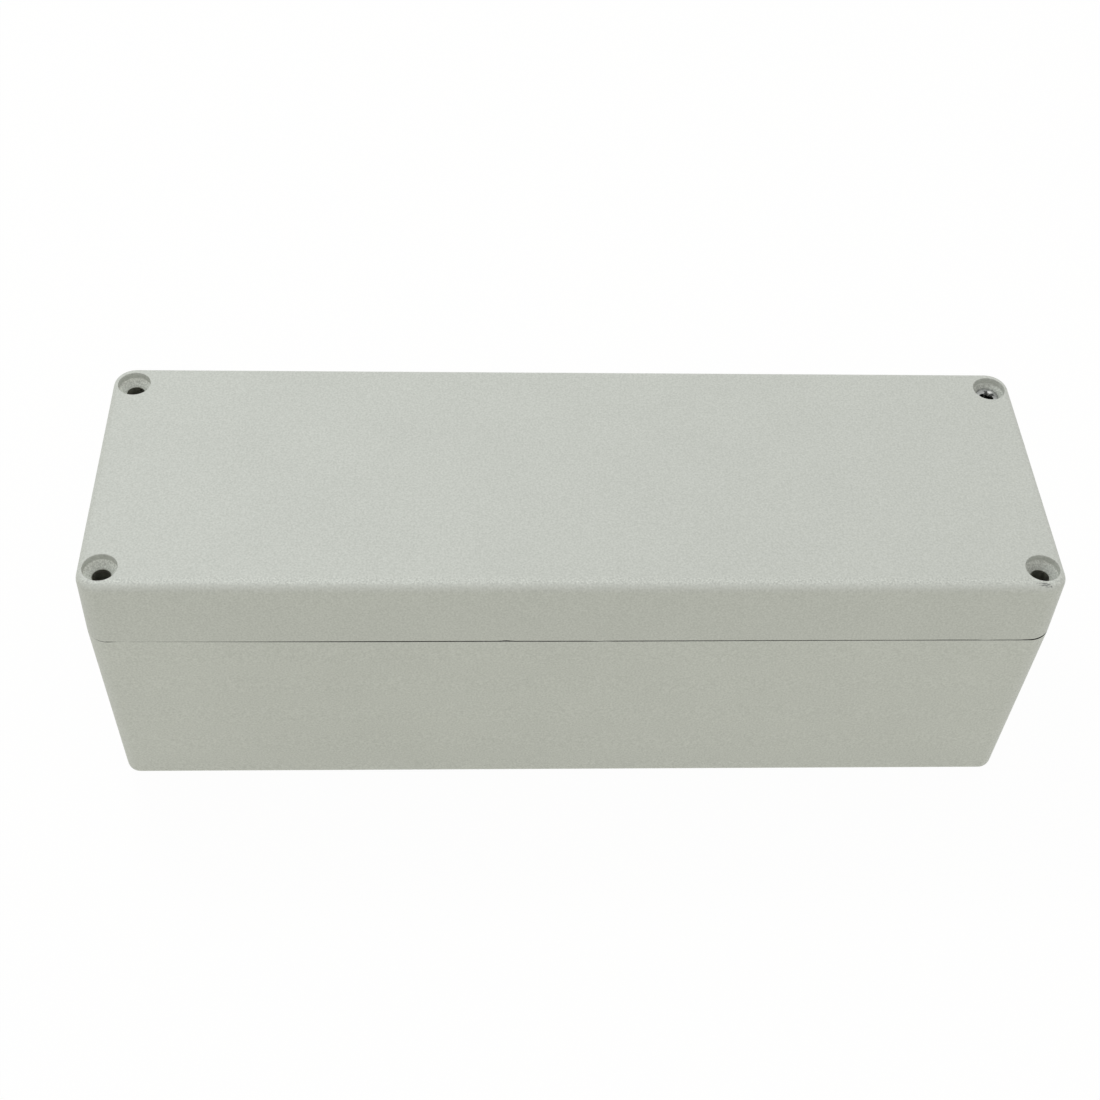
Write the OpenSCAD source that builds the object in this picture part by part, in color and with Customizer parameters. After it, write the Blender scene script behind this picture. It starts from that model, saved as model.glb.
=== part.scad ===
// Long die-cast box with a screwed lid, sealed by a gasket in a groove.
// Millimetres. The origin is the centre of the underside, +X runs along the length,
// -Y is the front and +Z is up. Base and lid meet at the height base_h.

/* [Box] */
// Length at the parting line, where the box is widest
body_l = 250; // [160:1:320]
// Width at the parting line
body_w = 82; // [68:1:120]
// Height of the base casting
base_h = 61.5; // [40:0.5:80]
// Height of the lid casting
lid_h = 20.5; // [16:0.5:30]
// Radius of the upright corners at the parting line
corner_r = 6; // [5:0.1:9]
// Taper of the base's outer walls, in degrees
base_draft = 2.25; // [0.5:0.05:3]
// Taper of the lid's outer walls, in degrees
lid_draft = 0.25; // [0.1:0.05:3]
// Rounding of the base's bottom edge
base_edge_r = 3; // [1:0.1:4]
// Rounding of the lid's top edge
lid_edge_r = 2.2; // [1:0.1:3.5]
// Edge break of both castings at the parting line
parting_break = 0.2; // [0.1:0.05:0.5]

/* [Walls] */
// Wall thickness at the rim of the base
wall_t = 5; // [4:0.1:7]
// Thickness of the base's floor
floor_t = 3.5; // [2.5:0.1:6]
// Thickness of the lid's ceiling
ceiling_t = 3.5; // [2.5:0.1:6]
// Taper of the hollows in both castings, in degrees
core_draft = 1; // [0.5:0.1:2]
// Radius of the hollows' upright corners
core_r = 4; // [3:0.1:6]

/* [Corner posts] */
// Length of a corner post, measured from the end of the box
post_l = 18.5; // [15.5:0.1:26]
// Width of a corner post, measured from the side of the box
post_w = 22.5; // [19.5:0.1:28]

/* [Seal] */
// Thickness of the tongue round the rim of the base
tongue_t = 1.6; // [1.2:0.1:2]
// Height of the tongue above the parting line
tongue_h = 2; // [1.2:0.1:3]
// Gap between the tongue and each side of the groove
groove_clear = 0.5; // [0.2:0.05:0.6]
// Thickness of the seal once the lid is down
gasket_t = 2; // [1:0.1:3]
// Thickness of the lid's rib inside the groove
rib_t = 1.6; // [1.2:0.1:2.5]

/* [Lid screws] */
// Screw axis to the end of the box
screw_inset_x = 6; // [5.5:0.1:8]
// Screw axis to the side of the box
screw_inset_y = 7; // [5.5:0.1:8]
// Diameter of the counterbore in the lid's top
counterbore_d = 8.8; // [7.5:0.1:10]
// Depth of the counterbore's straight wall
counterbore_depth = 1.8; // [0.5:0.1:2.5]
// Included angle of the cone below the counterbore, in degrees
cone_angle = 100; // [90:1:120]
// Diameter of the clearance hole through the lid
screw_hole_d = 4.8; // [4.4:0.1:5.6]
// Outside diameter of the screw's thread
screw_d = 3.9; // [2.9:0.1:4]
// Diameter of the screw's head
head_d = 6.2; // [5.8:0.1:7]
// Height of the head's slightly domed top above its rim
head_dome_h = 0.3; // [0.2:0.1:1.2]
// Length of the screw below the rim of its head
screw_l = 28; // [23:0.5:38]
// Width across the arms of the cross recess at the top of the head
recess_w = 4.2; // [2.8:0.1:4.4]
// Width across the arms at the bottom of the cross recess
recess_end_w = 2.6; // [1.2:0.1:2.8]
// Width of one arm of the cross recess
recess_arm_w = 0.9; // [0.6:0.05:1.1]
// Depth of the cross recess
recess_depth = 1.8; // [1:0.1:2]
// Turn of the cross recess, in degrees
recess_turn = 6; // [0:1:90]
// Chamfer at the tip of the screw
tip_chamfer = 0.6; // [0.3:0.1:0.8]
// Gap between the screw's head and its seat
seat_clear = 0.1; // [0.02:0.01:0.2]
// Radial gap between the screw and the hole it is screwed into
thread_clear = 0.1; // [0.05:0.01:0.2]
// Free depth below the tip of the screw
tip_clear = 4; // [1:0.5:6]

/* [Wall mounting] */
// Mounting hole to lid screw, along the length
mount_step_x = 5; // [4:0.1:8]
// Mounting hole to lid screw, across the width
mount_step_y = 8; // [7:0.1:10]
// Diameter of a mounting hole
mount_hole_d = 4.8; // [4:0.1:5.5]
// Diameter of the well that takes the head of a mounting screw
mount_well_d = 8.6; // [7:0.1:9]
// Metal left under the well
mount_floor_t = 5; // [3:0.1:8]

/* [Board bosses] */
// Boss axis to the face of a corner post
boss_inset_x = 22; // [10:0.5:30]
// Boss axis to the side wall at the rim
boss_inset_y = 14; // [8:0.5:18]
// Diameter of a boss
boss_d = 7; // [5.5:0.1:9]
// Height of a boss above the floor
boss_h = 5; // [3:0.1:10]
// Diameter of the blind hole in a boss
boss_hole_d = 2.5; // [2:0.1:4]
// Depth of the blind hole in a boss
boss_hole_depth = 6; // [3:0.1:7]

/* [Hidden] */
$fn = 96;

coat_grey = [0.72, 0.73, 0.69];
rubber_black = [0.10, 0.10, 0.10];
zinc_grey = [0.70, 0.70, 0.69];

// Sharp tools reach this far past the face that they cut
cut_past = 1;
// An edge rounding takes at most this share of the corner radius that it runs round
edge_share = 0.95;
box_h = base_h + lid_h;

// Hollow of the base at the top of its tongue: a long narrow bay crossing a wide one
long_bay = [body_l - 2 * wall_t, body_w - 2 * post_w];
wide_bay = [body_l - 2 * post_l, body_w - 2 * wall_t];

// How far each line of the seal lies outside the edge of the hollow
groove_outer = tongue_t + groove_clear;
groove_inner = -groove_clear;
lid_hollow = groove_inner - rib_t;
groove_depth = tongue_h + gasket_t;

screw_x = body_l / 2 - screw_inset_x;
screw_y = body_w / 2 - screw_inset_y;
mount_x = screw_x - mount_step_x;
mount_y = screw_y - mount_step_y;
boss_x = wide_bay.x / 2 - boss_inset_x;
boss_y = wide_bay.y / 2 - boss_inset_y;

// The head's 90 degree underside sits on the edge of the clearance hole
cone_depth = (counterbore_d - screw_hole_d) / 2 / tan(cone_angle / 2);
head_seat_z = box_h - counterbore_depth - cone_depth;
head_rim_z = head_seat_z + (head_d - screw_hole_d) / 2 + seat_clear;
head_cone_h = (head_d - screw_d) / 2;
screw_tip_z = head_rim_z - screw_l;
thread_hole_d = screw_d + 2 * thread_clear;
thread_hole_z = screw_tip_z - tip_clear;

// Section of a tapered wall from a corner's axis outwards. Its wide end is at the bottom with a
// broken edge, and its top is rounded.
module wall_section(reach, height, draft, edge_r) {
    break_start = [reach - parting_break, 0];
    break_end = [reach - parting_break * tan(draft), parting_break];
    arc_z = height - edge_r;
    arc_u = reach - arc_z * tan(draft) - edge_r / cos(draft);
    arc_centre = [arc_u, arc_z];
    arc_start = arc_centre + edge_r * [cos(draft), sin(draft)];
    arc_end = [arc_u, height];
    polygon([[0, 0], break_start, break_end, arc_start, arc_centre, arc_end, [0, height]]);
    translate(arc_centre)
        intersection() {
            circle(edge_r);
            square(edge_r);
        }
}

// Section of a tapered wall with a sharp top edge.
module sharp_section(reach, height, draft) {
    polygon([[0, 0], [reach, 0], [reach - height * tan(draft), height], [0, height]]);
}

// Block with round upright corners that takes its wall section from the child.
module cornered_block(plan, height, r) {
    core = [plan.x - 2 * r, plan.y - 2 * r];
    translate([-core.x / 2, -core.y / 2, 0])
        cube([core.x, core.y, height]);
    for (turn = [0, 180]) {
        rotate(turn) {
            translate([-core.x / 2, core.y / 2, 0])
                rotate([90, 0, 90])
                    linear_extrude(core.x)
                        children();
            translate([core.x / 2, core.y / 2, 0])
                rotate([90, 0, 0])
                    linear_extrude(core.y)
                        children();
            translate([core.x / 2, core.y / 2, 0])
                rotate_extrude(angle = 90)
                    children();
            translate([-core.x / 2, core.y / 2, 0])
                rotate(90)
                    rotate_extrude(angle = 90)
                        children();
        }
    }
}

// Outer block of a casting, with its wide face on z = 0. The edge rounding stays inside the corner.
module outer_block(height, draft, edge_r) {
    corner_left = corner_r - height * tan(draft);
    edge = min(edge_r, edge_share * corner_left);
    cornered_block([body_l, body_w], height, corner_r)
        wall_section(corner_r, height, draft, edge);
}

// Hollow with its wide face on z = 0: the two crossing bays, grown outwards by the given amount.
module bays(grow, height, draft) {
    for (bay = [long_bay, wide_bay]) {
        cornered_block(bay + 2 * [grow, grow], height, core_r + grow)
            sharp_section(core_r + grow, height, draft);
    }
}

// Ring between two outlines of the hollow, standing on z = 0.
module seal_ring(inner, outer, height) {
    difference() {
        bays(outer, height, 0);
        translate([0, 0, -cut_past])
            bays(inner, height + 2 * cut_past, 0);
    }
}

// Copies of the child at the four corners of a rectangle.
module at_corners(x, y) {
    for (sx = [-1, 1], sy = [-1, 1]) {
        translate([sx * x, sy * y, 0])
            children();
    }
}

// Upright round bar between two heights, which stands as a boss or cuts a hole.
module bar(d, z_low, z_high) {
    translate([0, 0, z_low])
        cylinder(d = d, h = z_high - z_low);
}

module base() {
    tongue_top_z = base_h + tongue_h;
    color(coat_grey)
        difference() {
            union() {
                difference() {
                    union() {
                        translate([0, 0, base_h])
                            mirror([0, 0, 1])
                                outer_block(base_h, base_draft, base_edge_r);
                        translate([0, 0, base_h])
                            bays(tongue_t, tongue_h, 0);
                    }
                    translate([0, 0, tongue_top_z])
                        mirror([0, 0, 1])
                            bays(0, tongue_top_z - floor_t, core_draft);
                }
                at_corners(boss_x, boss_y)
                    bar(boss_d, floor_t - cut_past, floor_t + boss_h);
            }
            at_corners(screw_x, screw_y)
                bar(thread_hole_d, thread_hole_z, base_h + cut_past);
            at_corners(mount_x, mount_y) {
                bar(mount_well_d, mount_floor_t, base_h + cut_past);
                bar(mount_hole_d, -cut_past, mount_floor_t + cut_past);
            }
            at_corners(boss_x, boss_y)
                bar(boss_hole_d, floor_t + boss_h - boss_hole_depth, floor_t + boss_h + cut_past);
        }
}

module lid() {
    color(coat_grey)
        translate([0, 0, base_h])
            difference() {
                outer_block(lid_h, lid_draft, lid_edge_r);
                bays(lid_hollow, lid_h - ceiling_t, core_draft);
                seal_ring(groove_inner, groove_outer, groove_depth);
                at_corners(screw_x, screw_y)
                    screw_hole();
            }
}

// Counterbored hole for one lid screw, measured up from the parting line.
module screw_hole() {
    low_z = -cut_past;
    cone_high_z = lid_h - counterbore_depth;
    cone_low_z = cone_high_z - cone_depth;
    high_z = lid_h + cut_past;
    hole_r = screw_hole_d / 2;
    rim_r = counterbore_d / 2;
    rotate_extrude()
        polygon([
            [0, low_z], [hole_r, low_z], [hole_r, cone_low_z],
            [rim_r, cone_high_z], [rim_r, high_z], [0, high_z]
        ]);
}

module gasket() {
    color(rubber_black)
        translate([0, 0, base_h + tongue_h])
            seal_ring(groove_inner, groove_outer, gasket_t);
}

// Cross recess as a solid that stands on its narrow bottom.
module cross_recess() {
    intersection() {
        for (turn = [0, 90]) {
            rotate(recess_turn + turn)
                translate([-recess_w / 2, -recess_arm_w / 2, 0])
                    cube([recess_w, recess_arm_w, recess_depth]);
        }
        cylinder(d1 = recess_end_w, d2 = recess_w, h = recess_depth);
    }
}

// One countersunk screw with a slightly domed head, in the back right corner.
module lid_screw() {
    dome_r = (pow(head_d / 2, 2) + pow(head_dome_h, 2)) / (2 * head_dome_h);
    color(zinc_grey)
        translate([screw_x, screw_y, head_rim_z])
            difference() {
                union() {
                    translate([0, 0, tip_chamfer - screw_l])
                        cylinder(d = screw_d, h = screw_l - tip_chamfer - head_cone_h);
                    translate([0, 0, -screw_l])
                        cylinder(d1 = screw_d - 2 * tip_chamfer, d2 = screw_d, h = tip_chamfer);
                    translate([0, 0, -head_cone_h])
                        cylinder(d1 = screw_d, d2 = head_d, h = head_cone_h);
                    intersection() {
                        translate([0, 0, head_dome_h - dome_r])
                            sphere(dome_r);
                        cylinder(d = head_d, h = head_dome_h);
                    }
                }
                translate([0, 0, head_dome_h - recess_depth])
                    cross_recess();
            }
}

base();
lid();
gasket();
lid_screw();
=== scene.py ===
import math
import bmesh
import bpy
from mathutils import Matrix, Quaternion, Vector


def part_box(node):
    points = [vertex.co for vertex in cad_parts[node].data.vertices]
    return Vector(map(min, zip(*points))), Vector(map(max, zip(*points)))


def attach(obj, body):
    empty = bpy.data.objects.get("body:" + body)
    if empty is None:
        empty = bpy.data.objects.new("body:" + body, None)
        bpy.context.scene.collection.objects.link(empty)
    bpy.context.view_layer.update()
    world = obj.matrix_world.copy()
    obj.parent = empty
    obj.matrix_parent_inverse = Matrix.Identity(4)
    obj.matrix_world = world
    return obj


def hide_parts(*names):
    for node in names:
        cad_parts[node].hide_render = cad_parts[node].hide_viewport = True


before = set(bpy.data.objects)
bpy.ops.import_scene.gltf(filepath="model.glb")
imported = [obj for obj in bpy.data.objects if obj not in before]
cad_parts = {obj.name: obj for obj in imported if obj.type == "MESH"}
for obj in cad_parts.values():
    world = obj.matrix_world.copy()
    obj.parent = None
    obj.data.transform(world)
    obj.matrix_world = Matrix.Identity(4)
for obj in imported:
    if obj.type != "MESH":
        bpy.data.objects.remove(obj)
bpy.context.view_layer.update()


# Base: a deep tray pressure-cast in aluminium, with its corner posts, board bosses and sealing
# tongue in the same casting. Its walls taper so that it leaves the die, and the whole casting is
# sprayed and baked with a fine-textured light grey powder coat that rounds off every edge.
base_low, base_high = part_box("base")
lid_low, lid_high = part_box("lid")
box_plan = (base_high.x - base_low.x, base_high.y - base_low.y)
parting_z = lid_low.z
corner_r = 0.006
outer_corner_steps = 16
base_draft = math.radians(2.25)
base_edge_r = 0.003
edge_steps = 10
close = 1e-5


def start_edit(piece):
    """Selects one object alone and opens it in edit mode."""
    bpy.ops.object.select_all(action="DESELECT")
    bpy.context.view_layer.objects.active = piece
    piece.select_set(True)
    bpy.ops.object.mode_set(mode="EDIT")


def end_edit():
    bpy.ops.object.mode_set(mode="OBJECT")


def pick(piece, kind, test):
    """In edit mode, selects only the verts, edges or faces that pass a test."""
    bpy.ops.mesh.select_mode(type={"verts": "VERT", "edges": "EDGE", "faces": "FACE"}[kind])
    bpy.ops.mesh.select_all(action="DESELECT")
    mesh = bmesh.from_edit_mesh(piece.data)
    for item in getattr(mesh, kind):
        item.select_set(test(item))
    mesh.select_flush_mode()
    bmesh.update_edit_mesh(piece.data)


def name_piece(name):
    """Names the object that was just added and puts its place into its mesh."""
    piece = bpy.context.object
    piece.name = piece.data.name = name
    bpy.ops.object.transform_apply(location=True, rotation=True, scale=True)
    return piece


def tapered_block(name, plan, wide_z, narrow_z, radius, draft, edge_r=0, steps=12):
    """Block with round upright corners that narrows from one height to the other."""
    height = abs(narrow_z - wide_z)
    bpy.ops.object.select_all(action="DESELECT")
    bpy.ops.mesh.primitive_cube_add(size=1, location=(0, 0, (wide_z + narrow_z) / 2))
    bpy.context.object.scale = (plan[0], plan[1], height)
    block = name_piece(name)
    start_edit(block)
    pick(block, "edges", lambda e: abs(e.verts[0].co.z - e.verts[1].co.z) > height / 2)
    bpy.ops.mesh.bevel(offset=radius, segments=steps, affect="EDGES")
    shrink = 1 - height * math.tan(draft) / radius
    for side_x in (-1, 1):
        for side_y in (-1, 1):
            axis = Vector((side_x * (plan[0] / 2 - radius), side_y * (plan[1] / 2 - radius), narrow_z))

            def in_corner(vert):
                off = vert.co - axis
                return off.x * side_x > -close and off.y * side_y > -close and abs(off.z) < close

            pick(block, "verts", in_corner)
            bpy.ops.transform.resize(value=(shrink, shrink, 1), center_override=axis)
    if edge_r:
        pick(block, "edges", lambda e: all(abs(v.co.z - narrow_z) < close for v in e.verts))
        bpy.ops.mesh.bevel(offset=edge_r, segments=edge_steps, affect="EDGES")
    end_edit()
    return block


base = tapered_block(
    "base_casting", box_plan, parting_z, 0, corner_r, base_draft, base_edge_r, outer_corner_steps)

# The casting's edge at the parting line is uneven, so the joint with the lid is not of one width.
joint_t = 0.0005
joint_run_out = 0.0008
joint_edge_r = 0.00006
joint_step = 0.00025
joint_widening = 1.08
rounding_steps = 3


def inside_wall(place):
    """How far a point lies inside the box's outline at the parting line."""
    past_x = abs(place.x) - (box_plan[0] / 2 - corner_r)
    past_y = abs(place.y) - (box_plan[1] / 2 - corner_r)
    return corner_r - math.hypot(max(past_x, 0), max(past_y, 0)) - min(max(past_x, past_y), 0)


def near_joint(vert):
    """True for a point at the height of the parting line, its small rounding included."""
    return abs(vert.co.z - parting_z) < 2 * joint_edge_r


def open_joint(piece, shift):
    """Rounds a casting's edge at the parting line and moves it by a rule of place."""
    start_edit(piece)
    pick(piece, "faces", lambda f: abs(f.calc_center_median().z - parting_z) < close)
    bpy.ops.mesh.inset(thickness=joint_t)
    bpy.ops.mesh.inset(thickness=joint_run_out)
    pick(piece, "edges", lambda e: all(
        abs(v.co.z - parting_z) < close and inside_wall(v.co) < close for v in e.verts))
    bpy.ops.mesh.bevel(offset=joint_edge_r, segments=rounding_steps, affect="EDGES")
    pick(piece, "edges", lambda e: e.calc_length() > box_plan[0] / 2 and all(
        near_joint(v) for v in e.verts))
    bpy.ops.mesh.subdivide(number_cuts=int((box_plan[0] - 2 * corner_r) / joint_step))
    mesh = bmesh.from_edit_mesh(piece.data)
    for vert in mesh.verts:
        if near_joint(vert) and inside_wall(vert.co) < joint_t + close:
            vert.co.z += shift(vert.co.x, vert.co.y)
    bmesh.update_edit_mesh(piece.data)
    end_edit()


def hump(x, centre, reach):
    """1 at a place, falling to 0 around it."""
    return math.exp(-((x - centre) / reach) ** 2)


def ease(x, start, end):
    """Smooth step from 0 at start to 1 at end."""
    t = min(max((x - start) / (end - start), 0), 1)
    return t * t * (3 - 2 * t)


def joint_gap(x, y):
    """Height of the open joint between the castings, which meet only at the left of the front."""
    wander = 0.00002 * math.sin(410 * x + 0.7) * math.sin(1130 * x) + 0.00002 * math.sin(95 * x)
    if y > 0:
        along_back = 0.00014
        round_right_end = 0.0003 * ease(x, 0.1, 0.125) * (1 - ease(y, 0, 0.04))
        return along_back + round_right_end + wander
    opening = 0.00006 + 0.00029 * ease(x, -0.110, -0.045)
    closing = 0.00014 * ease(x, -0.03, 0.08)
    left_corner = 0.00010 * hump(x, -0.1205, 0.0020) - 0.00005 * hump(x, -0.1145, 0.003)
    left_corner -= 0.00005 * (1 - ease(x, -0.1245, -0.1215))
    wide_spots = 0.00005 * hump(x, -0.086, 0.014) + 0.00006 * hump(x, 0.052, 0.018)
    wide_spots += 0.00005 * hump(x, 0.097, 0.007)
    right_corner = 0.00006 * ease(x, 0.092, 0.104) + 0.00036 * ease(x, 0.1155, 0.1225)
    burrs = 0.00016 * hump(x, 0.0066, 0.0010) + 0.00010 * hump(x, 0.0082, 0.0005)
    burrs += 0.00008 * hump(x, 0.0094, 0.0003) + 0.00009 * hump(x, 0.0112, 0.0004)
    burrs += 0.00016 * hump(x, 0.1070, 0.0004)
    gap = opening - closing + wander + left_corner + wide_spots + right_corner - burrs
    return max(joint_widening * gap, 0)


def lid_edge_lift(x, y):
    """Height of the lid's edge from the parting line: below it at the left, above it at the right."""
    right_end = joint_gap(x, y) * ease(x, -0.03, 0.12)
    left_end = 0.00012 * (1 - ease(x, -0.08, 0.05))
    left_of_middle = 0.00013 * hump(x, -0.035, 0.035)
    return right_end - left_end + left_of_middle


def base_edge(x, y):
    """The base's edge: a joint's height below the lid's, with chips and a blob at the front."""
    chips = 0.00018 * hump(x, 0.0063, 0.0006) + 0.00012 * hump(x, -0.1186, 0.0005)
    blob = 0.00010 * hump(x, -0.0169, 0.0011)
    return lid_edge_lift(x, y) - joint_gap(x, y) - (chips - blob if y < 0 else 0)


open_joint(base, base_edge)

# The tongue stands on the rim round the hollow, which leaves solid posts in the four corners.
tongue_top_z = base_high.z
tongue_t = 0.0016
wall_t = 0.005
floor_t = 0.0035
post_plan = (0.0185, 0.0225)
core_draft = math.radians(1)
core_r = 0.004
core_edge_r = 0.0015
cut_past = 0.002
flat_angle = math.radians(0.5)


def combine(piece, tool, operation):
    """Joins a tool to a piece, or cuts it away, and removes the tool."""
    boolean = piece.modifiers.new(operation, "BOOLEAN")
    boolean.operation = operation
    boolean.solver = "EXACT"
    boolean.object = tool
    bpy.context.view_layer.objects.active = piece
    bpy.ops.object.modifier_apply(modifier=boolean.name)
    bpy.data.objects.remove(tool)


def bays(name, grow, wide_z, narrow_z, draft=0, edge_r=0):
    """The hollow's outline as a solid: a long narrow bay crossing a wide short one."""
    long_plan = (box_plan[0] - 2 * wall_t + 2 * grow, box_plan[1] - 2 * post_plan[1] + 2 * grow)
    wide_plan = (box_plan[0] - 2 * post_plan[0] + 2 * grow, box_plan[1] - 2 * wall_t + 2 * grow)
    solid = tapered_block(name, long_plan, wide_z, narrow_z, core_r + grow, draft, edge_r)
    wide_bay = tapered_block("wide_bay", wide_plan, wide_z, narrow_z, core_r + grow, draft, edge_r)
    combine(solid, wide_bay, "UNION")
    start_edit(solid)
    bpy.ops.mesh.select_all(action="SELECT")
    bpy.ops.mesh.dissolve_limited(angle_limit=flat_angle)
    end_edit()
    return solid


combine(base, bays("tongue", tongue_t, parting_z - cut_past, tongue_top_z), "UNION")
combine(base, bays("hollow", 0, tongue_top_z, floor_t, core_draft, core_edge_r), "DIFFERENCE")

# Four bosses on the floor carry a circuit board.
boss_x = 0.0845
boss_y = 0.022
boss_r = 0.0035
boss_h = 0.005
boss_top_z = floor_t + boss_h
run_in = 0.001


def corners(x, y):
    """The four corners of a rectangle about the origin."""
    return [(side_x * x, side_y * y) for side_x in (-1, 1) for side_y in (-1, 1)]


def upright(name, radius, place, low_z, high_z, steps=48):
    """Round bar between two heights."""
    bpy.ops.object.select_all(action="DESELECT")
    bpy.ops.mesh.primitive_cylinder_add(
        vertices=steps, radius=radius, depth=high_z - low_z, location=(*place, (low_z + high_z) / 2))
    return name_piece(name)


boss_at = corners(boss_x, boss_y)
for place in boss_at:
    combine(base, upright("boss", boss_r, place, floor_t - run_in, boss_top_z), "UNION")

# Blind holes go down into the bosses and the posts, for the board's screws and the lid's. Beside
# the lid screws, wells take the heads of the screws that fix the box to a wall.
board_hole_r = 0.00125
board_hole_depth = 0.006
board_hole_low_z = boss_top_z - board_hole_depth
screw_inset = (0.006, 0.007)
screw_x = box_plan[0] / 2 - screw_inset[0]
screw_y = box_plan[1] / 2 - screw_inset[1]
screw_at = corners(screw_x, screw_y)
screw_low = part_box("lid_screw")[0]
tip_clear = 0.004
thread_r = 0.00205
thread_low_z = screw_low.z - tip_clear
mount_step = (0.005, 0.008)
mount_at = corners(screw_x - mount_step[0], screw_y - mount_step[1])
mount_hole_r = 0.0024
mount_well_r = 0.0043
mount_floor_t = 0.005
coat_edge_r = 0.0002


def draw_on(piece, place, from_z, to_z, from_r, to_r):
    """In edit mode, extrudes a round end face to another height and radius."""
    def is_end(face):
        level = abs(face.normal.z) > 0.99
        return level and abs(face.calc_center_median().z - from_z) < close / 10

    pick(piece, "faces", is_end)
    bpy.ops.mesh.extrude_region_move(TRANSFORM_OT_translate={"value": (0, 0, to_z - from_z)})
    scale = to_r / from_r
    bpy.ops.transform.resize(value=(scale, scale, 1), center_override=(*place, to_z))


def open_rim(cutter, place, radius, rim_z):
    """In edit mode, widens a cutter just below a surface, so that its hole has a rounded rim."""
    turns = [math.pi / 2 * step / rounding_steps for step in range(rounding_steps)]
    rounding = [(math.sin(turn), 1 - math.cos(turn)) for turn in turns]
    last_up, last_out = rounding[-1]
    past_surface = (2 - last_up, 2 - last_out)
    rounding.append(past_surface)
    rings = [(rim_z + (up - 1) * coat_edge_r, radius + out * coat_edge_r) for up, out in rounding]
    rings.append((rim_z + cut_past, rings[-1][1]))
    for (from_z, from_r), (to_z, to_r) in zip(rings, rings[1:]):
        draw_on(cutter, place, from_z, to_z, from_r, to_r)


def hole_cutter(name, radius, place, low_z, rim_z):
    """Cutter for a round hole that goes down from a surface."""
    cutter = upright(name, radius, place, low_z, rim_z - coat_edge_r)
    start_edit(cutter)
    open_rim(cutter, place, radius, rim_z)
    end_edit()
    return cutter


def joined(pieces):
    """One object from several that don't touch."""
    bpy.ops.object.select_all(action="DESELECT")
    for piece in pieces:
        piece.select_set(True)
    bpy.context.view_layer.objects.active = pieces[0]
    bpy.ops.object.join()
    return pieces[0]


drills = [hole_cutter("board_hole", board_hole_r, place, board_hole_low_z, boss_top_z)
          for place in boss_at]
drills += [hole_cutter("thread_hole", thread_r, place, thread_low_z, parting_z)
           for place in screw_at]
drills += [upright("mount_hole", mount_hole_r, place, -cut_past, mount_floor_t + run_in)
           for place in mount_at]
combine(base, joined(drills), "DIFFERENCE")
wells = [hole_cutter("mount_well", mount_well_r, place, mount_floor_t, parting_z)
         for place in mount_at]
combine(base, joined(wells), "DIFFERENCE")

# The coat rounds off the edges that are still sharp.
sharp_angle = math.radians(35)
rim_reach = 0.0005
doubles_apart = 2e-6


def is_sharp(edge):
    """True for an edge where two faces meet at more than the angle of a rounding's own steps."""
    return edge.is_manifold and edge.calc_face_angle() > sharp_angle


def still_square(vert):
    """False on the uneven joint edge and at the lid's top, where the rims are rounded already."""
    if vert.co.z > lid_high.z - rim_reach:
        return False
    return abs(vert.co.z - parting_z) > joint_run_out or inside_wall(vert.co) > joint_t + joint_run_out


def soften(piece, radius):
    """Rounds the sharp edges that haven't been rounded yet by the given radius."""
    merge_reach = radius / 5
    start_edit(piece)
    pick(piece, "faces", lambda f: all(still_square(v) for v in f.verts))
    bpy.ops.mesh.dissolve_limited(angle_limit=flat_angle)
    pick(piece, "verts", lambda v: still_square(v) and any(is_sharp(e) for e in v.link_edges))
    bpy.ops.mesh.remove_doubles(threshold=merge_reach)
    pick(piece, "edges", lambda e: is_sharp(e) and all(still_square(v) for v in e.verts))
    bpy.ops.mesh.bevel(offset=radius, segments=rounding_steps, affect="EDGES")
    end_edit()


def smooth(piece):
    """Shades a piece smooth while its flat faces stay flat."""
    start_edit(piece)
    bpy.ops.mesh.select_all(action="SELECT")
    bpy.ops.mesh.remove_doubles(threshold=doubles_apart)
    end_edit()
    bpy.ops.object.shade_smooth_by_angle(angle=sharp_angle)
    normals = piece.modifiers.new("flat_faces_lead", "WEIGHTED_NORMAL")
    normals.weight = 100
    normals.keep_sharp = True
    bpy.ops.object.modifier_apply(modifier=normals.name)


soften(base, coat_edge_r)
smooth(base)

# Grey coat all over, bare metal in the drilled holes and near-black painted shade in the joint.
# Painted light: the base's coat is made 3% lighter, to brighten its front.
base_painted_lightness = 1.03
shade_spread = 0.02
coat_dark = (0.488, 0.507, 0.456)
coat_light = (0.603, 0.623, 0.567)
metal_dark = (0.57, 0.57, 0.51)
metal_light = (0.73, 0.73, 0.67)
# Near-black colours of the painted shade in the joint.
joint_shade_dark = (0.006, 0.006, 0.005)
joint_shade_light = (0.028, 0.027, 0.024)


def new_material(name):
    """Material with its tree of nodes and its main shader."""
    material = bpy.data.materials.new(name)
    material.use_nodes = True
    tree = material.node_tree
    return material, tree, tree.nodes["Principled BSDF"]


def noise(tree, scale, detail, vector=None):
    """Noise over the piece's own place, or over another vector."""
    texture = tree.nodes.new("ShaderNodeTexNoise")
    texture.inputs["Scale"].default_value = scale
    texture.inputs["Detail"].default_value = detail
    if vector is None:
        vector = tree.nodes.new("ShaderNodeTexCoord").outputs["Object"]
    tree.links.new(vector, texture.inputs["Vector"])
    return texture.outputs["Fac"]


def ramp(tree, value, low, high, low_colour, high_colour):
    """Colours between two, as a value goes from low to high."""
    node = tree.nodes.new("ShaderNodeValToRGB")
    node.color_ramp.elements[0].position = low
    node.color_ramp.elements[0].color = (*low_colour, 1)
    node.color_ramp.elements[1].position = high
    node.color_ramp.elements[1].color = (*high_colour, 1)
    tree.links.new(value, node.inputs["Fac"])
    return node.outputs["Color"]


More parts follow.
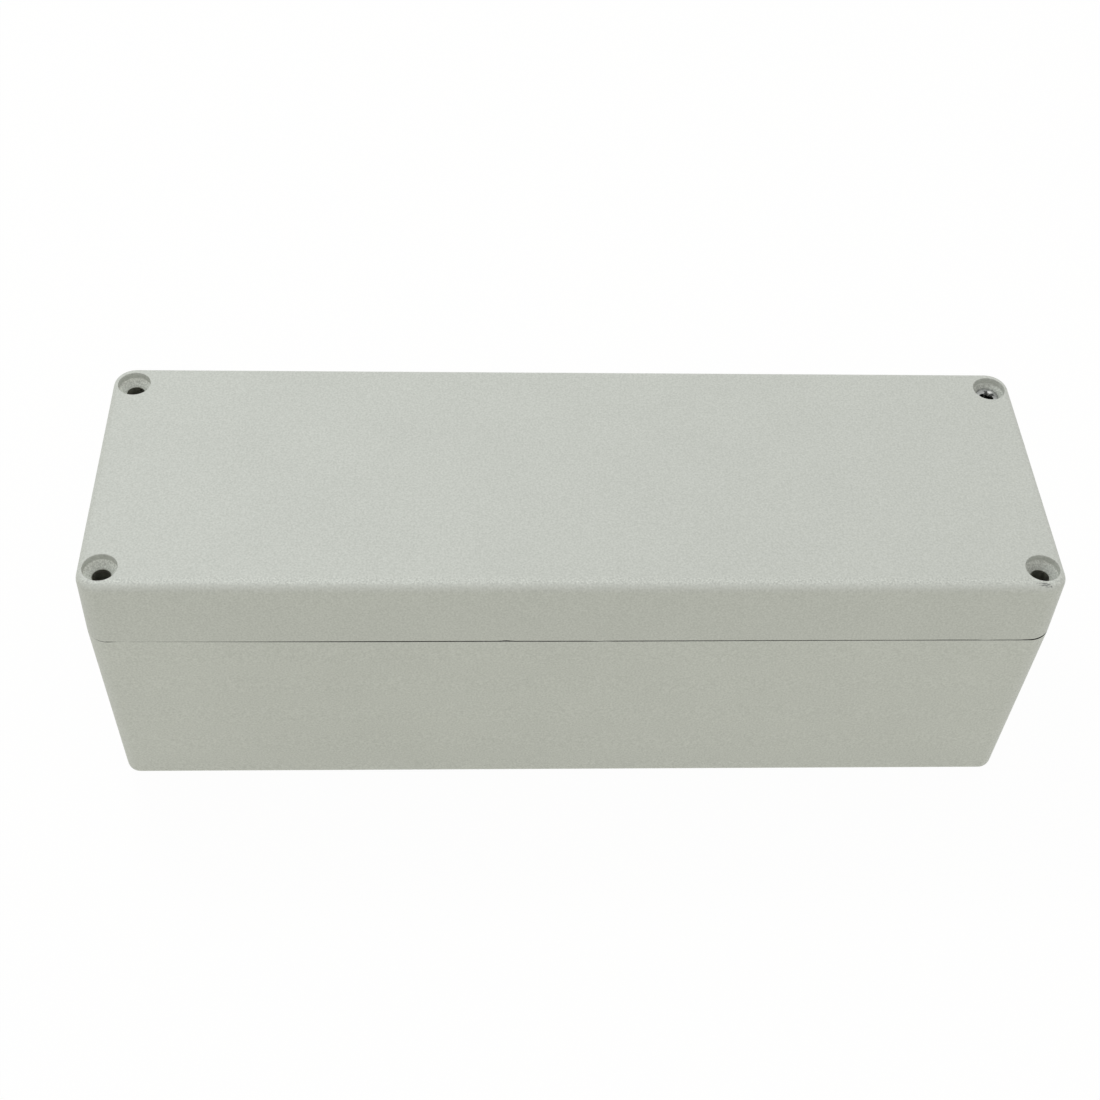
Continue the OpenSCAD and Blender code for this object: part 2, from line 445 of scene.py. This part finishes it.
def bump(tree, height, strength, distance, under=None):
    """Relief from a height, on top of another relief if there is one."""
    node = tree.nodes.new("ShaderNodeBump")
    node.inputs["Strength"].default_value = strength
    node.inputs["Distance"].default_value = distance
    tree.links.new(height, node.inputs["Height"])
    if under:
        tree.links.new(under, node.inputs["Normal"])
    return node.outputs["Normal"]


def blend(tree, kind, factor, first, second):
    """Two colours mixed, or one multiplied by the other."""
    node = tree.nodes.new("ShaderNodeMix")
    node.data_type = "RGBA"
    node.blend_type = kind
    for value, socket in ((factor, "Factor"), (first, "A"), (second, "B")):
        target = [s for s in node.inputs if s.name == socket and s.enabled][0]
        if hasattr(value, "is_linked"):
            tree.links.new(value, target)
        else:
            target.default_value = value
    return [s for s in node.outputs if s.enabled][0]


def powder_coat(name, shade):
    """Light grey polyester powder coat: satin, with a fine sandy grain and a slight orange peel, its
    lightness set for each piece as painted light and shade.
    """
    coat, tree, shader = new_material(name)
    shader.inputs["Roughness"].default_value = 0.48
    grain = noise(tree, scale=1900, detail=2)
    sand = ramp(tree, grain, 0.3, 0.7, coat_dark, coat_light)
    patches = noise(tree, scale=45, detail=3)
    cloud = ramp(tree, patches, 0.35, 0.65, (shade - shade_spread,) * 3, (shade,) * 3)
    colour = blend(tree, "MULTIPLY", 1.0, sand, cloud)
    tree.links.new(colour, shader.inputs["Base Color"])
    peel = bump(tree, noise(tree, scale=420, detail=1), strength=0.4, distance=0.00008)
    relief = bump(tree, grain, strength=0.8, distance=0.00010, under=peel)
    tree.links.new(relief, shader.inputs["Normal"])
    return coat


def drilled_metal():
    """Bare drilled aluminium, dull and a little oxidised, with a fine grain."""
    metal, tree, shader = new_material("bare_drilled_aluminium")
    shader.inputs["Metallic"].default_value = 1
    shader.inputs["Roughness"].default_value = 0.38
    colour = ramp(tree, noise(tree, scale=900, detail=3), 0.3, 0.7, metal_dark, metal_light)
    tree.links.new(colour, shader.inputs["Base Color"])
    relief = bump(tree, noise(tree, scale=2600, detail=2), strength=0.4, distance=0.00005)
    tree.links.new(relief, shader.inputs["Normal"])
    return metal


def joint_painted_shade():
    """Near-black painted shade on the strips of the castings' edges that face each other in the joint."""
    joint_shade, tree, shader = new_material("joint_painted_shade")
    shader.inputs["Roughness"].default_value = 0.85
    colour = ramp(tree, noise(tree, scale=1400, detail=2), 0.35, 0.65, joint_shade_dark, joint_shade_light)
    tree.links.new(colour, shader.inputs["Base Color"])
    return joint_shade


def paint(piece, material, test):
    """Adds a material to a piece and gives it to the faces that pass a test."""
    piece.data.materials.append(material)
    start_edit(piece)
    pick(piece, "faces", test)
    piece.active_material_index = len(piece.data.materials) - 1
    bpy.ops.object.material_slot_assign()
    end_edit()


def round_hole(places, radius, low_z, high_z):
    """Test for the faces that line holes of a radius, between two heights."""
    def test(face):
        middle = face.calc_center_median()
        near = any(math.hypot(middle.x - x, middle.y - y) < radius + close for x, y in places)
        return near and low_z < middle.z < high_z

    return test


def in_joint(face):
    """True for the strip of a casting's edge that faces the other casting."""
    middle = face.calc_center_median()
    level = abs(face.normal.z) > 0.7
    return level and abs(middle.z - parting_z) < joint_t and joint_edge_r < inside_wall(middle) < joint_t


bare_metal = drilled_metal()
joint_shade = joint_painted_shade()
base.data.materials.clear()
paint(base, powder_coat("base_powder_coat", base_painted_lightness), lambda f: True)
paint(base, bare_metal, round_hole(screw_at, thread_r, thread_low_z - close, parting_z - coat_edge_r))
paint(base, bare_metal, round_hole(mount_at, mount_hole_r, coat_edge_r, mount_floor_t))
paint(base, bare_metal, round_hole(
    boss_at, board_hole_r, board_hole_low_z - close, boss_top_z - coat_edge_r))
# Painted shade on the strip of the edge in the joint.
paint(base, joint_shade, in_joint)
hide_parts("base")
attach(base, "base")


# Lid: a shallow pressure-cast cover with the same grey powder coat. Four counterbored screw holes
# go down through its corner columns, and a groove for the seal runs round its underside. Its lower
# edge doesn't lie quite flat on the base, so that the joint shows as a dark line of uneven width.
lid_draft = math.radians(0.25)
lid_edge_r = 0.0022
ceiling_t = 0.0035
rib_t = 0.0016
seal_low, seal_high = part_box("gasket")
groove_clear = 0.0005
groove_inner = -groove_clear
groove_outer = tongue_t + groove_clear
screw_hole_r = 0.0024
screw_hole_steps = 64
counterbore_r = 0.0044
counterbore_depth = 0.0018
cone_half_angle = math.radians(50)
cone_depth = (counterbore_r - screw_hole_r) / math.tan(cone_half_angle)
cone_high_z = lid_high.z - counterbore_depth
cone_low_z = cone_high_z - cone_depth


def lid_edge(x, y):
    """The lid's edge, with small chips at the left of the front and a burr right of its middle."""
    chips = 0.00024 * hump(x, -0.0176, 0.0004) + 0.00022 * hump(x, -0.0162, 0.0004)
    chips += 0.00016 * hump(x, -0.1186, 0.0005)
    burr = 0.00022 * hump(x, 0.0063, 0.0006)
    return lid_edge_lift(x, y) + (chips - burr if y < 0 else 0)


def screw_hole(place):
    """Cutter for one screw hole, drawn up from the through hole by extruding and widening."""
    low_z = parting_z - cut_past
    cutter = upright("screw_hole", screw_hole_r, place, low_z, cone_low_z, screw_hole_steps)
    start_edit(cutter)
    draw_on(cutter, place, cone_low_z, cone_high_z, screw_hole_r, counterbore_r)
    draw_on(cutter, place, cone_high_z, lid_high.z - coat_edge_r, counterbore_r, counterbore_r)
    open_rim(cutter, place, counterbore_r, lid_high.z)
    end_edit()
    return cutter


def seal_ring(name, inner, outer, low_z, high_z):
    """Ring between two outlines of the hollow."""
    ring = bays(name, outer, low_z, high_z)
    combine(ring, bays("inside", inner, low_z - cut_past, high_z + cut_past), "DIFFERENCE")
    return ring


lid = tapered_block(
    "lid_casting", box_plan, parting_z, lid_high.z, corner_r, lid_draft, lid_edge_r, outer_corner_steps)
open_joint(lid, lid_edge)
lid_hollow = bays("hollow", groove_inner - rib_t, parting_z - cut_past, lid_high.z - ceiling_t,
                  core_draft, core_edge_r)
combine(lid, lid_hollow, "DIFFERENCE")
groove = seal_ring("groove", groove_inner, groove_outer, parting_z - cut_past, seal_high.z)
combine(lid, groove, "DIFFERENCE")
combine(lid, joined([screw_hole(place) for place in screw_at]), "DIFFERENCE")
soften(lid, coat_edge_r)
smooth(lid)

# The coat has a painted highlight of bright and dark specks along the front top edge, is scuffed in one
# place, and is thin in the screw holes with painted shade down their cones.
# Painted shade: the lid's coat is made 1% darker, to even its front with the base's.
lid_painted_lightness = 0.99
scuff_place = (0.1187, -0.0397, 0.0818)
scuff_turn = math.radians(-10)
scuff_reach = (0.0030, 0.0006, 0.0007)
scuff_colour = (0.15, 0.155, 0.145, 1)
# Where the painted highlight specks run along the front top edge.
sparkle_start_y = (lid_low.y + 0.0011, lid_low.y + 0.0019)
sparkle_end_y = (lid_low.y + 0.0028, lid_low.y + 0.0045)
sparkle_low_z = (lid_high.z - 0.0008, lid_high.z - 0.0004)
thin_powder = (0.485, 0.505, 0.452)
thick_powder = (0.76, 0.785, 0.715)


def fade(tree, value, start, end, first, last):
    """A number that goes evenly from first to last while the value goes from start to end."""
    span = tree.nodes.new("ShaderNodeMapRange")
    span.inputs["From Min"].default_value = start
    span.inputs["From Max"].default_value = end
    span.inputs["To Min"].default_value = first
    span.inputs["To Max"].default_value = last
    tree.links.new(value, span.inputs["Value"])
    return span.outputs["Result"]


def own_place(tree):
    """X, Y and Z of a point on the piece."""
    coords = tree.nodes.new("ShaderNodeTexCoord")
    parts = tree.nodes.new("ShaderNodeSeparateXYZ")
    tree.links.new(coords.outputs["Object"], parts.inputs["Vector"])
    return parts.outputs


def from_patch(tree, place, turn, reach):
    """A point's place from the middle of an oval patch, in shares of the patch's reach."""
    coords = tree.nodes.new("ShaderNodeTexCoord")
    patch = tree.nodes.new("ShaderNodeMapping")
    patch.vector_type = "TEXTURE"
    patch.inputs["Location"].default_value = place
    patch.inputs["Rotation"].default_value = (0, 0, turn)
    patch.inputs["Scale"].default_value = reach
    tree.links.new(coords.outputs["Object"], patch.inputs["Vector"])
    return patch.outputs["Vector"]


def in_patch(tree, offset, core_share):
    """1 in the core of an oval patch, falling to 0 at its edge."""
    away = tree.nodes.new("ShaderNodeVectorMath")
    away.operation = "LENGTH"
    tree.links.new(offset, away.inputs[0])
    return ramp(tree, away.outputs["Value"], core_share, 1.0, (1, 1, 1), (0, 0, 0))


def scuffed_coat():
    """The powder coat, with painted highlight specks along the front top edge, and scuffed by the front
    right screw hole.
    """
    coat = powder_coat("lid_powder_coat", lid_painted_lightness)
    tree = coat.node_tree
    shader = tree.nodes["Principled BSDF"]
    clean = shader.inputs["Base Color"].links[0].from_socket
    where = own_place(tree)
    sparkle_starts = fade(tree, where["Y"], *sparkle_start_y, 0, 1)
    sparkle_ends = fade(tree, where["Y"], *sparkle_end_y, 1, 0)
    high_up = fade(tree, where["Z"], *sparkle_low_z, 0, 1)
    on_edge = blend(tree, "MULTIPLY", 1.0, sparkle_starts, sparkle_ends)
    on_edge = blend(tree, "MULTIPLY", 1.0, on_edge, high_up)
    # Painted highlight: bright and dark specks on the front top edge.
    specks = fade(tree, noise(tree, scale=2000, detail=2), 0.38, 0.64, 0.88, 1.17)
    painted_highlight = blend(tree, "MULTIPLY", on_edge, clean, specks)
    scuff = from_patch(tree, scuff_place, scuff_turn, scuff_reach)
    streaks = noise(tree, scale=2.2, detail=2, vector=scuff)
    torn = ramp(tree, streaks, 0.47, 0.54, (0, 0, 0), (1, 1, 1))
    scuffed = blend(tree, "MULTIPLY", 1.0, in_patch(tree, scuff, 0.7), torn)
    marked = blend(tree, "MIX", scuffed, painted_highlight, scuff_colour)
    tree.links.new(marked, shader.inputs["Base Color"])
    return coat


def thin_coat():
    """Casting skin with a thin, patchy dusting of powder, with painted shade darkening it down the cone,
    and darker to the right.
    """
    skin, tree, shader = new_material("thin_powder_coat")
    shader.inputs["Roughness"].default_value = 0.5
    patches = noise(tree, scale=2300, detail=3)
    powder = ramp(tree, patches, 0.36, 0.66, thin_powder, thick_powder)
    where = own_place(tree)
    # Painted shade: darker down the cone, into the hole.
    painted_shade_down_cone = fade(tree, where["Z"], cone_low_z, cone_high_z, 0.70, 1.0)
    along_lid = fade(tree, where["X"], lid_low.x, lid_high.x, 1.10, 0.87)
    dust_and_painted_shade = blend(tree, "MULTIPLY", 1.0, powder, painted_shade_down_cone)
    dust_and_painted_shade = blend(tree, "MULTIPLY", 1.0, dust_and_painted_shade, along_lid)
    tree.links.new(dust_and_painted_shade, shader.inputs["Base Color"])
    relief = bump(tree, patches, strength=0.7, distance=0.00012)
    tree.links.new(relief, shader.inputs["Normal"])
    return skin


lid.data.materials.clear()
paint(lid, scuffed_coat(), lambda f: True)
paint(lid, thin_coat(), round_hole(screw_at, counterbore_r, cone_low_z, cone_high_z))
paint(lid, bare_metal, round_hole(screw_at, screw_hole_r, parting_z + coat_edge_r, cone_low_z))
# Painted shade on the strip of the edge in the joint.
paint(lid, joint_shade, in_joint)
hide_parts("lid")
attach(lid, "lid")


# Seal: an endless strip of black rubber pressed into the lid's groove. The tongue of the base has
# left its mark along the face that it bears on.
seal_edge_r = 0.00006
mark_depth = 0.00015
mark_top_z = seal_low.z + mark_depth
mark_clear = 0.0001
rubber_black = (0.013, 0.013, 0.013)
rubber_bloom = (0.035, 0.035, 0.034)
seal = seal_ring("rubber_seal", groove_inner, groove_outer, seal_low.z, seal_high.z)
mark = seal_ring("tongue_mark", -mark_clear, tongue_t + mark_clear, seal_low.z - cut_past, mark_top_z)
combine(seal, mark, "DIFFERENCE")
soften(seal, seal_edge_r)
smooth(seal)


def seal_rubber():
    """Black rubber, dull, with a fine grain and a grey bloom in patches."""
    rubber, tree, shader = new_material("black_rubber")
    shader.inputs["Roughness"].default_value = 0.62
    colour = ramp(tree, noise(tree, scale=160, detail=4), 0.35, 0.75, rubber_black, rubber_bloom)
    tree.links.new(colour, shader.inputs["Base Color"])
    relief = bump(tree, noise(tree, scale=3200, detail=2), strength=0.4, distance=0.00004)
    tree.links.new(relief, shader.inputs["Normal"])
    return rubber


seal.data.materials.clear()
paint(seal, seal_rubber(), lambda f: True)
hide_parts("gasket")
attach(seal, "lid")


# Lid screw: a countersunk steel screw with a nearly flat head and a cross recess, cold-headed,
# thread-rolled and zinc plated. The plating has gone dull. It is the only screw in place, in the
# back right corner.
screw_place = (screw_x, screw_y)
screw_r = 0.00195
screw_steps = 40
screw_length = 0.028
head_r = 0.0031
head_dome_h = 0.0003
head_rim_t = 0.0001
tip_chamfer = 0.0006
thread_pitch = 0.0007
thread_depth = 0.0004
thread_run_out = 0.0008
rings_per_turn = 8
head_rim_z = screw_low.z + screw_length
neck_z = head_rim_z - (head_r - screw_r)
screw = upright("lid_screw_zinc", screw_r, screw_place, screw_low.z + tip_chamfer, neck_z, screw_steps)

start_edit(screw)
draw_on(screw, screw_place, screw_low.z + tip_chamfer, screw_low.z, screw_r, screw_r - tip_chamfer)
draw_on(screw, screw_place, neck_z, head_rim_z - head_rim_t, screw_r, head_r)
draw_on(screw, screw_place, head_rim_z - head_rim_t, head_rim_z, head_r, head_r)
dome_r = (head_r ** 2 + head_dome_h ** 2) / (2 * head_dome_h)
dome_steps = 8
last_z, last_r = head_rim_z, head_r
for step in range(1, dome_steps + 1):
    turn = math.asin(head_r / dome_r) * (1 - step / (dome_steps + 0.5))
    ring_z = head_rim_z + head_dome_h - dome_r * (1 - math.cos(turn))
    ring_r = dome_r * math.sin(turn)
    draw_on(screw, screw_place, last_z, ring_z, last_r, ring_r)
    last_z, last_r = ring_z, ring_r
pick(screw, "edges", lambda e: e.calc_length() > screw_length / 2)
thread_length = neck_z - screw_low.z - tip_chamfer
bpy.ops.mesh.subdivide(number_cuts=int(rings_per_turn * thread_length / thread_pitch))
mesh = bmesh.from_edit_mesh(screw.data)
for vert in mesh.verts:
    off = Vector((vert.co.x - screw_place[0], vert.co.y - screw_place[1]))
    if abs(off.length - screw_r) > close or vert.co.z > neck_z - close:
        continue
    turns = vert.co.z / thread_pitch - math.atan2(off.y, off.x) / (2 * math.pi)
    root = 0.5 + 0.5 * math.cos(2 * math.pi * turns)
    run_out = min((neck_z - vert.co.z) / thread_run_out, 1)
    scale = 1 - thread_depth * root * run_out / screw_r
    vert.co.x = screw_place[0] + off.x * scale
    vert.co.y = screw_place[1] + off.y * scale
bmesh.update_edit_mesh(screw.data)
end_edit()

# A punch with four tapered wings has pressed the cross recess into the head.
recess_w = 0.0042
recess_arm_w = 0.0010
recess_core_r = 0.0011
recess_core_steps = 24
recess_depth = 0.0018
recess_low_z = head_rim_z + head_dome_h - recess_depth
recess_turn = math.radians(6)
recess_end_share = 0.45
recess_flare = 2 / (1 + recess_end_share)
recess_edge_r = 0.00006


def tapered(tool):
    """Narrows the lower end of a tool for the recess."""
    start_edit(tool)
    pick(tool, "verts", lambda v: v.co.z < recess_low_z + close)
    bpy.ops.transform.resize(value=(recess_end_share, recess_end_share, 1),
                             center_override=(*screw_place, recess_low_z))
    end_edit()
    return tool


def recess_arm(turn):
    """One bar of the cross recess, wide at the top of the head and narrow at its bottom."""
    bpy.ops.object.select_all(action="DESELECT")
    bpy.ops.mesh.primitive_cube_add(
        size=1, location=(*screw_place, recess_low_z + recess_depth), rotation=(0, 0, turn))
    bpy.context.object.scale = (recess_w * recess_flare, recess_arm_w * recess_flare, 2 * recess_depth)
    return tapered(name_piece("recess_arm"))


recess = recess_arm(recess_turn)
combine(recess, recess_arm(recess_turn + math.pi / 2), "UNION")
recess_core = upright("recess_core", recess_core_r * recess_flare, screw_place,
                      recess_low_z, recess_low_z + 2 * recess_depth, recess_core_steps)
combine(recess, tapered(recess_core), "UNION")
combine(screw, recess, "DIFFERENCE")
start_edit(screw)
pick(screw, "edges", lambda e: is_sharp(e) and all(
    v.co.z > head_rim_z - 2 * head_rim_t for v in e.verts))
bpy.ops.mesh.bevel(offset=recess_edge_r, segments=2, affect="EDGES", clamp_overlap=True)
end_edit()
smooth(screw)

# A spot of the head has a painted highlight, the bottom of the recess has painted shade in black, and a
# patch at the front of the head and recess is black.
zinc_dark = (0.33, 0.335, 0.325)
zinc_light = (0.56, 0.565, 0.555)
# Near-white painted highlight on one spot of the head.
zinc_painted_highlight = (0.97, 0.97, 0.96, 1)
painted_highlight_place = (screw_place[0] + 0.0010, screw_place[1] + 0.0012, head_rim_z)
painted_highlight_reach = (0.0008, 0.0007, 0.0008)
recess_and_front_black = (0.004, 0.004, 0.003, 1)
# A black patch on the front of the head and recess.
front_black_place = (screw_place[0] - 0.0003, screw_place[1] - 0.0008, head_rim_z)
front_black_turn = math.radians(-25)
front_black_reach = (0.0021, 0.0013, 0.0015)
# Painted shade, in black, at the bottom of the recess.
bottom_painted_shade_place = (*screw_place, head_rim_z - 0.0016)
bottom_painted_shade_reach = (0.0017, 0.0017, 0.0011)


def zinc_with_painted_light():
    """Dull zinc plate with a painted highlight on one spot of the head, painted shade in black at the
    bottom of its recess and a black patch at its front.
    """
    zinc, tree, shader = new_material("zinc_plate_with_painted_light")
    shader.inputs["Metallic"].default_value = 1
    shader.inputs["Roughness"].default_value = 0.48
    colour = ramp(tree, noise(tree, scale=1200, detail=3), 0.3, 0.7, zinc_dark, zinc_light)
    # Painted highlight.
    painted_highlight = in_patch(tree, from_patch(tree, painted_highlight_place, 0, painted_highlight_reach), 0.75)
    colour = blend(tree, "MIX", painted_highlight, colour, zinc_painted_highlight)
    # Black patch on the front of the head and recess.
    in_front = from_patch(tree, front_black_place, front_black_turn, front_black_reach)
    colour = blend(tree, "MIX", in_patch(tree, in_front, 0.9), colour, recess_and_front_black)
    # Painted shade at the bottom of the recess.
    in_bottom = from_patch(tree, bottom_painted_shade_place, 0, bottom_painted_shade_reach)
    colour = blend(tree, "MIX", in_patch(tree, in_bottom, 0.85), colour, recess_and_front_black)
    tree.links.new(colour, shader.inputs["Base Color"])
    relief = bump(tree, noise(tree, scale=2200, detail=2), strength=0.25, distance=0.00004)
    tree.links.new(relief, shader.inputs["Normal"])
    return zinc


screw.data.materials.clear()
paint(screw, zinc_with_painted_light(), lambda f: True)
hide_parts("lid_screw")
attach(screw, "screw")


# Studio: a white table lit from below, a white backdrop all round, and one small soft lamp above,
# behind and to the left of the box. The camera looks down on the long front side from a little left
# of its middle.
camera_data = bpy.data.cameras.new("camera")
camera_data.sensor_width = 36
camera_data.lens = 57.206
camera = bpy.data.objects.new("camera", camera_data)
bpy.context.scene.collection.objects.link(camera)
camera.location = (-0.028992, -0.328452, 0.407655)
look_down = math.radians(47.229)
look_right = math.radians(4.233)
roll = math.radians(3.182)
sight = Vector((math.sin(look_right) * math.cos(look_down), math.cos(look_right) * math.cos(look_down),
                -math.sin(look_down)))
camera.rotation_mode = "QUATERNION"
camera.rotation_quaternion = sight.to_track_quat("-Z", "Y") @ Quaternion((0, 0, 1), roll)
bpy.context.scene.camera = camera

floor_size = 6
paper_colour = (0.92, 0.905, 0.83, 1)
glow_colour = (0.637, 0.651, 0.579, 1)
glow_share = 0.6
seen_glow_share = 0.965
white = (1, 1, 1, 1)


def seen_directly(tree):
    """1 for rays from the camera, a reflection or through glass, and 0 for light that fills the scene."""
    rays = tree.nodes.new("ShaderNodeLightPath")
    value = rays.outputs["Is Camera Ray"]
    for other in ("Is Glossy Ray", "Is Transmission Ray"):
        either = tree.nodes.new("ShaderNodeMath")
        either.operation = "MAXIMUM"
        tree.links.new(value, either.inputs[0])
        tree.links.new(rays.outputs[other], either.inputs[1])
        value = either.outputs["Value"]
    return value


def mix_shaders(tree, share, first, second, output):
    """Gives the surface one shader and a share of another."""
    mix = tree.nodes.new("ShaderNodeMixShader")
    tree.links.new(share, mix.inputs["Fac"])
    tree.links.new(first, mix.inputs[1])
    tree.links.new(second, mix.inputs[2])
    tree.links.new(mix.outputs["Shader"], tree.nodes[output].inputs["Surface"])


bpy.ops.object.select_all(action="DESELECT")
bpy.ops.mesh.primitive_plane_add(size=floor_size, location=(0, 0, 0))
floor = name_piece("floor")
paper, tree, sheet = new_material("white_paper")
sheet.inputs["Base Color"].default_value = paper_colour
sheet.inputs["Roughness"].default_value = 0.9
glow = tree.nodes.new("ShaderNodeEmission")
direct = seen_directly(tree)
tree.links.new(blend(tree, "MIX", direct, glow_colour, white), glow.inputs["Color"])
share = fade(tree, direct, 0, 1, glow_share, seen_glow_share)
mix_shaders(tree, share, sheet.outputs["BSDF"], glow.outputs["Emission"], "Material Output")
floor.data.materials.append(paper)

world = bpy.data.worlds.new("studio")
bpy.context.scene.world = world
world.use_nodes = True
tree = world.node_tree
fill = tree.nodes["Background"]
fill.inputs["Color"].default_value = (1.0, 0.985, 0.99, 1)
fill.inputs["Strength"].default_value = 0.79
backdrop = tree.nodes.new("ShaderNodeBackground")
backdrop.inputs["Color"].default_value = white
mix_shaders(tree, seen_directly(tree), fill.outputs["Background"], backdrop.outputs["Background"],
            "World Output")

lamp_data = bpy.data.lights.new("top_lamp", "AREA")
lamp_data.size = 0.25
lamp_data.energy = 3.2
lamp_data.color = (0.91, 0.975, 1.0)
lamp = bpy.data.objects.new("top_lamp", lamp_data)
bpy.context.scene.collection.objects.link(lamp)
lamp.location = (-0.32, 0.46, 1.10)
lamp_aim = Vector((0, 0, 0.05))
lamp.rotation_mode = "QUATERNION"
lamp.rotation_quaternion = (lamp_aim - lamp.location).to_track_quat("-Z", "Y")
bpy.context.scene.view_settings.view_transform = "Standard"
